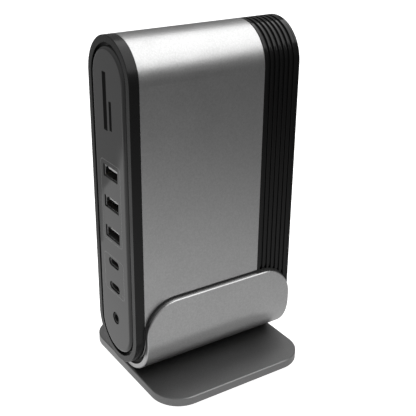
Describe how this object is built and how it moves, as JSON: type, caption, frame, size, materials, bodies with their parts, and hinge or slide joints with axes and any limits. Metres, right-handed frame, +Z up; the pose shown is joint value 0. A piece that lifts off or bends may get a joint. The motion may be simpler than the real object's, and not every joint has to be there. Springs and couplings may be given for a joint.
{
  "type": "laptop docking station",
  "caption": "Upright laptop docking station with a rounded metal housing, front and rear ports, lifting out of a U-shaped cradle on a flat base.",
  "frame": {"origin": "on the floor, under the centre of the housing", "axes": "+Z up, the front ports face -Y, the housing's width runs along X"},
  "size_m": [0.079, 0.086, 0.1625],
  "materials": {
    "bezel_plastic": "fine satin",
    "board_laminate": "green solder mask",
    "capacitor_metal": "can",
    "chip_resin": "moulded resin",
    "cradle_metal": "bead-blasted, grey anodised",
    "foot_rubber": "matte",
    "frame_plastic": "moulded",
    "light_pipe": "smoky clear",
    "liner_rubber": "matte",
    "panel_plastic": "polished dark grey",
    "ribbed_plastic": "black, moulded with round grooves",
    "screw_steel": "black zinc",
    "sleeve_metal": "bead-blasted, grey anodised",
    "socket_metal": "nickel plated",
    "socket_plastic": "moulded",
    "spreader_metal": "mill finish",
    "stand_metal": "bead-blasted, dark grey anodised",
    "thermal_pad": "soft grey",
    "tongue_plastic": "light grey moulded"
  },
  "bodies": {
    "stand": {"base_plate": "stand_metal", "foot_pad": "foot_rubber", "cradle": "cradle_metal", "cradle_liner": "liner_rubber", "cradle_screws": "screw_steel"},
    "dock": {"audio_jack": "socket_plastic", "bezel_screws": "screw_steel", "carrier_frame": "frame_plastic", "display_controller": "chip_resin", "ethernet_jack": "socket_plastic", "filter_capacitors": "capacitor_metal", "front_bezel": "bezel_plastic", "front_board_screws": "screw_steel", "front_header": "socket_plastic", "front_panel": "panel_plastic", "front_port_board": "board_laminate", "gap_pads": "thermal_pad", "hdmi_shell_1": "socket_metal", "hdmi_shell_2": "socket_metal", "hdmi_tongue_1": "tongue_plastic", "hdmi_tongue_2": "tongue_plastic", "heat_spreader": "spreader_metal", "housing_sleeve": "sleeve_metal", "hub_controller": "chip_resin", "indicator_led": "chip_resin", "indicator_light_pipe": "light_pipe", "main_board": "board_laminate", "main_board_screws": "screw_steel", "microsd_socket": "socket_metal", "network_controller": "chip_resin", "network_transformer": "chip_resin", "power_inductors": "chip_resin", "rear_board_screws": "screw_steel", "rear_cover_screws": "screw_steel", "rear_header": "socket_plastic", "rear_port_board": "board_laminate", "rear_port_plate": "ribbed_plastic", "rear_shell": "ribbed_plastic", "sd_card_socket": "socket_metal", "thermal_pads": "thermal_pad", "usb_a_shell_1": "socket_metal", "usb_a_shell_2": "socket_metal", "usb_a_shell_3": "socket_metal", "usb_a_shell_4": "socket_metal", "usb_a_shell_5": "socket_metal", "usb_a_tongue_1": "tongue_plastic", "usb_a_tongue_2": "tongue_plastic", "usb_a_tongue_3": "tongue_plastic", "usb_a_tongue_4": "tongue_plastic", "usb_a_tongue_5": "tongue_plastic", "usb_c_shell_1": "socket_metal", "usb_c_shell_2": "socket_metal", "usb_c_shell_3": "socket_metal", "usb_c_shell_4": "socket_metal", "usb_c_tongue_1": "tongue_plastic", "usb_c_tongue_2": "tongue_plastic", "usb_c_tongue_3": "tongue_plastic", "usb_c_tongue_4": "tongue_plastic"}
  },
  "joints": [
    {"name": "dock_lift", "type": "slide", "parent": "stand", "child": "dock", "axis": [0, 0, 1], "range_m": [0, 0.045]}
  ]
}
